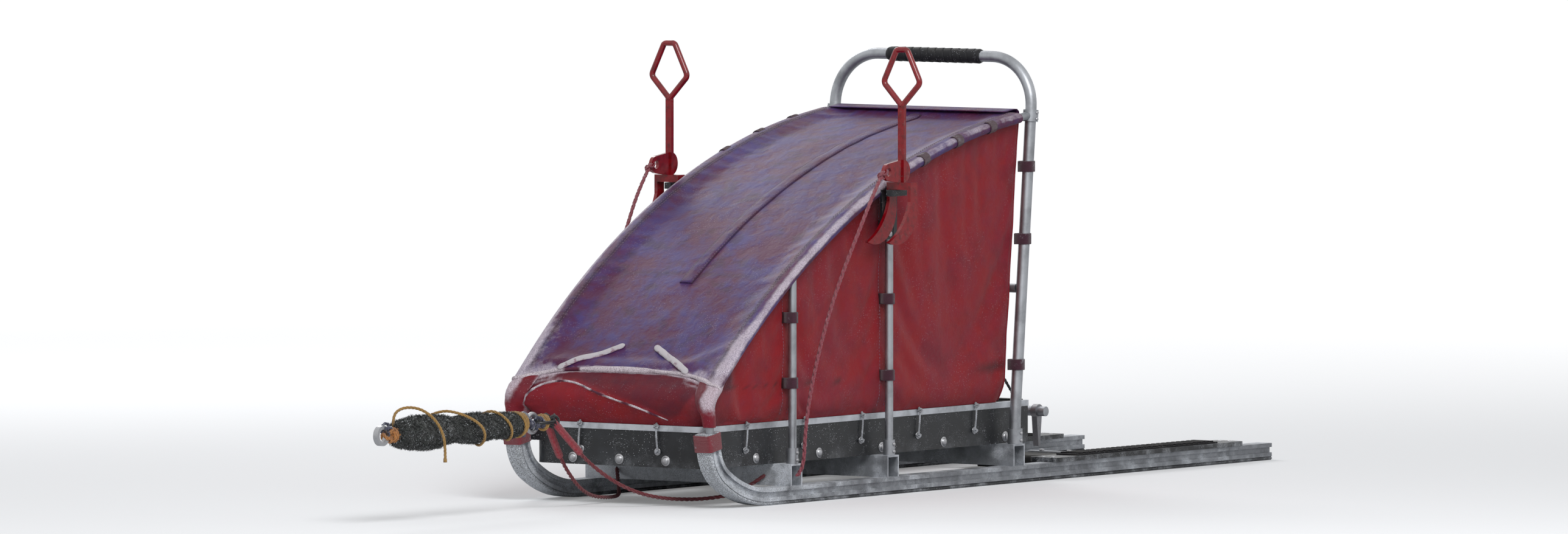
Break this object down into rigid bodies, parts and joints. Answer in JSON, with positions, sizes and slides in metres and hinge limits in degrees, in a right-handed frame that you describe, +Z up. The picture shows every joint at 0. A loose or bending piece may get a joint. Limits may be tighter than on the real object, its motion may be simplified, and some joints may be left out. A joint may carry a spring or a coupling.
{
  "type": "dog sled",
  "caption": "Toboggan-type dog sled with low runners, a plastic bed, a closed sewn bag, a driver's bow, a claw brake, a drag mat, two snow hooks and a tow rig with a shock absorber.",
  "frame": {"origin": "on the floor, under the middle of the object's box, in the sled's middle plane", "axes": "+X to the sled's rear, +Y to its right side, +Z up"},
  "size_m": [3.05, 0.7296, 0.9853],
  "materials": {
    "runner_alloy": "frosted and worn",
    "shoe_plastic": "sliding plastic",
    "frame_alloy": "satin tube, frosted",
    "trim_alloy": "satin",
    "bed_plastic": "smooth sheet",
    "board_plastic": "scuffed sheet",
    "red_lashing": "wound cord, frosted",
    "grip_wrap": "wound tape",
    "bag_cloth": "coated cloth, frosted edges",
    "cover_cloth": "coated cloth with a cool sheen",
    "tread_rubber": "ribbed",
    "mat_rubber": "cast, with lugs",
    "bare_steel": "bare",
    "black_steel": "black, worn",
    "red_paint": "glossy red",
    "tan_rope": "braided",
    "black_sleeve": "shaggy pile",
    "red_rope": "braided"
  },
  "bodies": {
    "sled": {"runner_left": "runner_alloy", "runner_right": "runner_alloy", "shoe_left": "shoe_plastic", "shoe_right": "shoe_plastic", "tip_wraps": "red_lashing", "cross_beams": "frame_alloy", "bed_sheet": "bed_plastic", "front_board": "board_plastic", "side_board_left": "board_plastic", "side_board_right": "board_plastic", "board_trim": "trim_alloy", "driver_bow": "frame_alloy", "bow_crossbar": "frame_alloy", "handlebar_grip": "grip_wrap", "side_rails": "frame_alloy", "rail_collars": "frame_alloy", "struts": "frame_alloy", "strut_sockets": "frame_alloy", "bag_front": "bag_cloth", "bag_back": "bag_cloth", "bag_side_left": "bag_cloth", "bag_side_right": "bag_cloth", "bag_cover_left": "cover_cloth", "bag_cover_right": "cover_cloth", "footboards": "board_plastic", "foot_pads": "tread_rubber", "brake_brackets": "frame_alloy", "brake_pins": "bare_steel", "mat_bar": "frame_alloy", "snow_hook_left": "red_paint", "snow_hook_right": "red_paint", "hook_holsters": "board_plastic", "tow_ring": "bare_steel", "shackle": "black_steel", "tow_eye": "bare_steel", "tow_rope_ends": "tan_rope", "shock_absorber": "black_sleeve", "bridle_leg_left": "red_rope", "bridle_leg_right": "red_rope", "leg_sleeves": "red_rope", "hook_line_left": "red_rope", "hook_line_right": "red_rope"},
    "claw_brake": {"claw_brake": "frame_alloy", "brake_claws": "bare_steel", "brake_pedal": "tread_rubber"},
    "drag_mat": {"drag_mat": "mat_rubber", "mat_strips": "frame_alloy"}
  },
  "joints": [
    {"name": "claw_brake_hinge", "type": "hinge", "parent": "sled", "child": "claw_brake", "pos_m": [0.577, 0, 0.062], "axis": [0, 1, 0], "range_deg": [0, 15], "stiffness_Nm_per_rad": 8, "springref_deg": -34.38},
    {"name": "drag_mat_hinge", "type": "hinge", "parent": "sled", "child": "drag_mat", "pos_m": [0.885, 0, 0.024], "axis": [0, -1, 0], "range_deg": [0, 75]}
  ]
}
